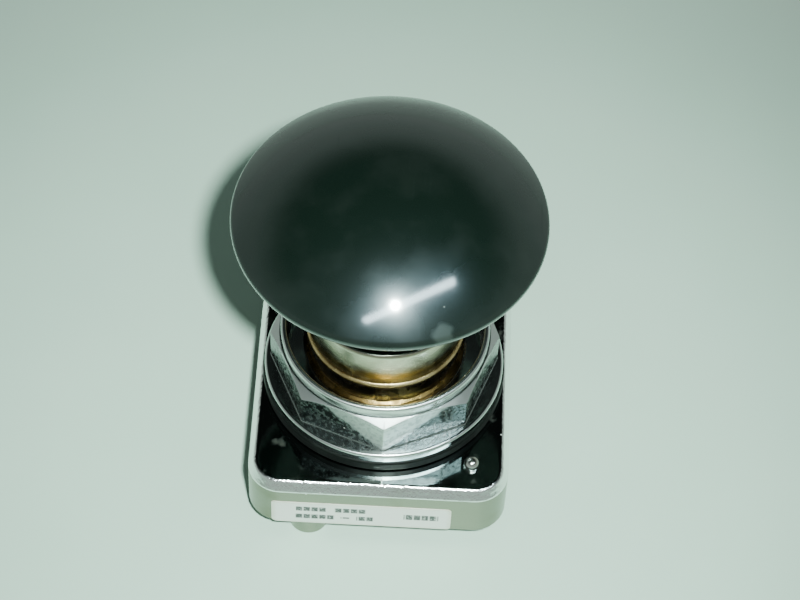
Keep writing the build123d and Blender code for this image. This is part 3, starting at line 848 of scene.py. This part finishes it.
low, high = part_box("mushroom_head")
head_radius = high.x
dome_radius = 40.4 * MM
rim_round = 1.8 * MM
rim_height = 63.8 * MM
insert_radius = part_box("head_insert")[1].x
insert_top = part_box("head_insert")[1].z
hub_radius = insert_radius + 3.5 * MM
rim_centre = head_radius - rim_round
dome_centre = high.z - dome_radius
edge_angle = atan2(rim_centre, sqrt((dome_radius - rim_round) ** 2 - rim_centre**2))
head_outline = []
dome_steps, rim_steps, under_steps = 48, 20, 30
for step in range(dome_steps):
    angle = edge_angle * step / dome_steps
    head_outline.append((dome_radius * sin(angle), dome_centre + dome_radius * cos(angle)))
for step in range(rim_steps + 1):
    angle = edge_angle + (pi - edge_angle) * step / rim_steps
    head_outline.append((rim_centre + rim_round * sin(angle), rim_height + rim_round * cos(angle)))
under_rim = Vector((rim_centre, rim_height - rim_round))
hub_top = Vector((hub_radius, low.z + 3.0 * MM))
reach = 13.0 * MM
for step in range(1, under_steps + 1):
    t = step / under_steps
    pull_rim, pull_hub = under_rim + Vector((-reach, 0)), hub_top + Vector((0, 0.42 * reach))
    spot = under_rim * (1 - t) ** 3 + pull_rim * 3 * t * (1 - t) ** 2
    spot += pull_hub * 3 * t * t * (1 - t) + hub_top * t**3
    head_outline.append((spot.x, spot.y))
head_outline += [(hub_radius, low.z + 0.6 * MM), (hub_radius - 0.2 * MM, low.z + 0.2 * MM)]
head_outline += [(hub_radius - 0.6 * MM, low.z), (insert_radius, low.z), (insert_radius, insert_top)]
head_outline += [(0, insert_top)]
head = turned("head_moulding", head_outline, steps=224)

screw_height = low.z + 6.0 * MM
bore_radius, bore_length = 2.05 * MM, 25 * MM
bore_outline = [(0, 0), (bore_radius, 0), (bore_radius, bore_length), (0, bore_length)]
bore = turned("bore", bore_outline, steps=48)
bore.data.transform(Matrix.Translation((0, 0, screw_height)) @ Matrix.Rotation(radians(-90), 4, "X"))
carve(head, [bore])

gloss = Finish("head_black", Coat_Roughness=0.10, Coat_IOR=1.5)
gloss.set(Specular_IOR_Level=0.26, Specular_Tint=(0.72, 0.9, 1.0))
smear = gloss.fade(gloss.noise(9, 4), 0.42, 0.70)
scuffs = gloss.fade(gloss.noise(1.0, 3, (0.7, 14, 14)), 0.66, 0.74) * smear
thumb = gloss.blot((10.2, -26.0, 65.2), 2.4, 0.7)
drip = gloss.blot((1.3, -26.6, 66.4), 1.3, 0.8)
dust = gloss.specks(3.4, 0.15, 0.20)
tone = gloss.mix(smear, (0.0035, 0.0085, 0.0060), (0.0060, 0.0110, 0.0085))
tone = gloss.mix(thumb * 0.35, tone, (0.055, 0.075, 0.066))
gloss.set(Base_Color=gloss.mix(dust, tone, (0.20, 0.22, 0.21)))
gloss.set(Roughness=0.27 + 0.07 * smear + 0.12 * scuffs + 0.15 * thumb)
gloss.set(Coat_Weight=(1 - 0.5 * scuffs) * (1 - 0.8 * drip) * (1 - dust))
gloss.relief(gloss.noise(3.5, 2) - 0.25 * scuffs, 0.010)
seat(head, gloss, "mushroom_head", "plunger")
dress("head_insert", brass)
screw_steel = turned_metal("screw_steel", (0.20, 0.20, 0.21), 0.32)
dress("head_set_screw", screw_steel)

# ---- Push plate and its screw ----------------------------------------------------------------------
# A zinc-plated steel plate under the stem that works the contact blocks, held by one countersunk screw
# with a cross recess.

low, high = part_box("push_plate")
screw_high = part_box("push_plate_screw")[1]
head_seat = screw_high.x + 0.05 * MM
screw_radius = 2.0 * MM
sink = screw_high.x - screw_radius
plate_corner = 3.0 * MM


def plate_loop(inset, height):
    """Rounded rectangle of the plate, drawn in by inset."""
    x, y, round_off = high.x - inset, high.y - inset, plate_corner - inset
    corners = [(x, -y, round_off), (x, y, round_off), (-x, y, round_off), (-x, -y, round_off)]
    return [Vector((*point, height)) for point in rounded_outline(corners, 6, 10)]


plate_edge = 0.25 * MM
plate_loops = [plate_loop(plate_edge, low.z), plate_loop(0, low.z + plate_edge)]
plate_loops += [plate_loop(0, high.z - plate_edge), plate_loop(plate_edge, high.z)]
plate_angles = [atan2(point.y, point.x) for point in plate_loops[0]]
hole_outline = ((screw_radius, high.z), (screw_radius + 0.05 * MM, low.z + sink), (head_seat, low.z))
plate_loops += [circle(radius, height, plate_angles) for radius, height in hole_outline]
plate = loft("pusher", plate_loops, ring=True)
zinc = Finish("plate_zinc", Metallic=1.0)
spangle = zinc.noise(1.6, 5)
rub = zinc.fade(zinc.noise(1.0, 4, (18, 0.5, 18)), 0.5, 0.75)
zinc.set(Base_Color=zinc.mix(spangle, (0.50, 0.52, 0.54), (0.66, 0.66, 0.60)))
zinc.set(Roughness=0.26 + 0.2 * spangle + 0.15 * rub)
zinc.relief(spangle + 0.6 * rub, 0.015)
seat(plate, zinc, "push_plate", "plunger")

screw_outline = [(0, low.z), (screw_high.x - 0.05 * MM, low.z), (screw_high.x, low.z + 0.05 * MM)]
screw_outline += [(screw_radius, low.z + sink), (screw_radius, screw_high.z - 0.4 * MM)]
screw_outline += [(screw_radius - 0.4 * MM, screw_high.z), (0, screw_high.z)]
screw = turned("pusher_screw", screw_outline, steps=64)
blades = []
for turn in (0, 90):
    x, y = 2 * MM, 0.4 * MM
    blade = [(-x, -y), (x, -y), (x, y), (-x, y)]
    levels = ((1.0, -1 * MM), (1.0, 0), (0.45, 0.8 * MM))
    slot_loops = [[Vector((x * k, y, low.z + z)) for x, y in blade] for k, z in levels]
    blades.append(loft(f"blade{turn}", slot_loops))
    blades[-1].data.transform(Matrix.Rotation(radians(turn), 4, "Z"))
carve(screw, blades)
seat(screw, screw_steel, "push_plate_screw", "plunger")

# ---- Table, light and camera -----------------------------------------------------------------------
# A pale, faintly green table top, whose far part glows as if a lit room stood round it. One small lamp
# stands beside the lens. A long tube above is only mirrored, while pale walls and a dark ceiling both
# light the scene and are mirrored.

edge = 1.6
table_corners = [(-edge, -edge, 0), (edge, -edge, 0), (edge, edge, 0), (-edge, edge, 0)]
table = bpy.data.meshes.new("table")
table.from_pydata(table_corners, [], [(0, 1, 2, 3)])
floor = bpy.data.objects.new("table", table)
bpy.context.scene.collection.objects.link(floor)
laminate = Finish("table_laminate", Specular_IOR_Level=0.35)
mottle = laminate.noise(26, 4)
fibre = laminate.noise(1.0, 3, (9, 2.2, 9))
tone = laminate.mix(mottle, (0.51, 0.73, 0.61), (0.56, 0.78, 0.66))
marks = laminate.specks(16, 0.35, 0.10)
laminate.set(Base_Color=laminate.mix(marks * 0.6, tone, (0.36, 0.36, 0.30)))
laminate.set(Roughness=0.42 + 0.1 * fibre)
away = laminate.node("ShaderNodeVectorMath", {"operation": "LENGTH"}, {0: laminate.place()}, 1)
room_glow = laminate.mix(laminate.fade(away, 110, 200), (0, 0, 0), (0.24, 0.29, 0.26))
laminate.set(Emission_Color=room_glow, Emission_Strength=1)
laminate.relief(fibre + 0.5 * laminate.noise(0.5, 2), 0.01)
table.materials.append(laminate.material)

# the lens stands 53 degrees above the front of the button and leans slightly to one side
rise, lean = radians(53.40), radians(2.94)
distance = 460.35 * MM
aim = Vector((0, 0, post_length + 20 * MM))
ahead = Vector((0, cos(rise), -sin(rise)))
level = Vector((1, 0, 0))
upward = Vector((0, sin(rise), cos(rise)))
lens_place = aim + 2.50 * MM * level + 9.22 * MM * upward - distance * ahead
right = cos(lean) * level + sin(lean) * upward
top = -sin(lean) * level + cos(lean) * upward
camera = bpy.data.objects.new("camera", bpy.data.cameras.new("camera"))
camera.data.lens = 108
camera.data.sensor_width = 36
camera.data.clip_start = 0.01
axes = Matrix((right, top, -ahead)).transposed().to_4x4()
camera.matrix_world = Matrix.Translation(lens_place) @ axes
bpy.context.scene.collection.objects.link(camera)
bpy.context.scene.camera = camera

flash = bpy.data.lights.new("lens_lamp", "SPOT")
flash.energy = 21.0
flash.color = (0.87, 1.0, 0.93)
flash.shadow_soft_size = 0.013
flash.spot_size = radians(38)
flash.spot_blend = 1.0
flash_holder = bpy.data.objects.new("lens_lamp", flash)
flash_holder.location = lens_place + 34 * MM * level + 23 * MM * upward
flash_holder.rotation_mode = "QUATERNION"
lit_spot = aim - 18 * MM * upward
flash_holder.rotation_quaternion = (lit_spot - flash_holder.location).to_track_quat("-Z", "Y")
bpy.context.scene.collection.objects.link(flash_holder)
tube = bpy.data.lights.new("tube", "AREA")
tube.energy = 16.0
tube.color = (0.72, 0.94, 1.0)
tube.shape = "RECTANGLE"
tube.size = 1.09
tube.size_y = 0.09
tube_holder = bpy.data.objects.new("tube", tube)
tube_holder.location = (0.22, -0.583, 1.0)
tube_holder.rotation_euler = (0, 0, radians(32.5))
tube_holder.visible_diffuse = False
bpy.context.scene.collection.objects.link(tube_holder)

# pale walls up to about 30 degrees, a dim ceiling, and a lighter one on the front's side
room = bpy.data.worlds.new("room")
bpy.context.scene.world = room
room.use_nodes = True
air = Nodes(room.node_tree, "Background")
direction = air.node("ShaderNodeTexCoord", {}, {}, "Generated")
up, back = air.part(direction, "Z"), air.part(direction, "Y")
wall_tone = air.mix(air.fade(up, -0.02, 0.02), (0.32, 0.39, 0.35), (0.38, 0.45, 0.415))
ceiling = air.mix(air.fade(back, 0.1, -0.6), (0.012, 0.015, 0.014), (0.14, 0.16, 0.165))
air.set(Color=air.mix(air.fade(up, 0.30, 0.66), wall_tone, ceiling))
